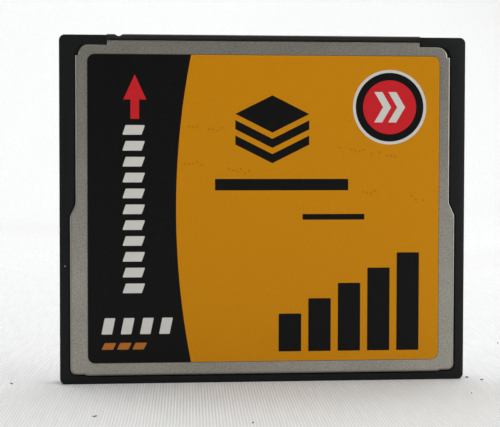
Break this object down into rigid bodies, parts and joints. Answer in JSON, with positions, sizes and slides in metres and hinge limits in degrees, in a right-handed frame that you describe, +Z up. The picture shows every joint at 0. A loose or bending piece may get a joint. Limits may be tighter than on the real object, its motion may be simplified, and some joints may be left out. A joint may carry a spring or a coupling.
{
  "type": "memory card",
  "caption": "Flat storage card with rows of pin sockets in one edge, grooved side rails and folded steel faces.",
  "frame": {"origin": "middle of the plain edge that the card stands on", "axes": "+X along the sockets to the right seen from the label, -Y out of the label face, +Z up to the socket edge"},
  "size_m": [0.0428, 0.0032, 0.0364],
  "materials": {
    "black_plastic": "fine moulded texture",
    "socket_plastic": "smooth moulded",
    "stainless_steel": "rolled, fine grain",
    "printed_film": "satin printed film",
    "board_laminate": "solder mask",
    "chip_resin": "moulded resin",
    "gold_plating": "thin gold plating"
  },
  "bodies": {
    "root": {"frame": "black_plastic", "connector_housing": "socket_plastic", "front_cover": "stainless_steel", "rear_cover": "stainless_steel", "front_label": "printed_film", "circuit_board": "board_laminate", "controller_chip": "chip_resin", "flash_chip_front": "chip_resin", "flash_chip_rear": "chip_resin", "contact_01": "gold_plating", "contact_02": "gold_plating", "contact_03": "gold_plating", "contact_04": "gold_plating", "contact_05": "gold_plating", "contact_06": "gold_plating", "contact_07": "gold_plating", "contact_08": "gold_plating", "contact_09": "gold_plating", "contact_10": "gold_plating", "contact_11": "gold_plating", "contact_12": "gold_plating", "contact_13": "gold_plating", "contact_14": "gold_plating", "contact_15": "gold_plating", "contact_16": "gold_plating", "contact_17": "gold_plating", "contact_18": "gold_plating", "contact_19": "gold_plating", "contact_20": "gold_plating", "contact_21": "gold_plating", "contact_22": "gold_plating", "contact_23": "gold_plating", "contact_24": "gold_plating", "contact_25": "gold_plating", "contact_26": "gold_plating", "contact_27": "gold_plating", "contact_28": "gold_plating", "contact_29": "gold_plating", "contact_30": "gold_plating", "contact_31": "gold_plating", "contact_32": "gold_plating", "contact_33": "gold_plating", "contact_34": "gold_plating", "contact_35": "gold_plating", "contact_36": "gold_plating", "contact_37": "gold_plating", "contact_38": "gold_plating", "contact_39": "gold_plating", "contact_40": "gold_plating", "contact_41": "gold_plating", "contact_42": "gold_plating", "contact_43": "gold_plating", "contact_44": "gold_plating", "contact_45": "gold_plating", "contact_46": "gold_plating", "contact_47": "gold_plating", "contact_48": "gold_plating", "contact_49": "gold_plating", "contact_50": "gold_plating"}
  },
  "joints": []
}
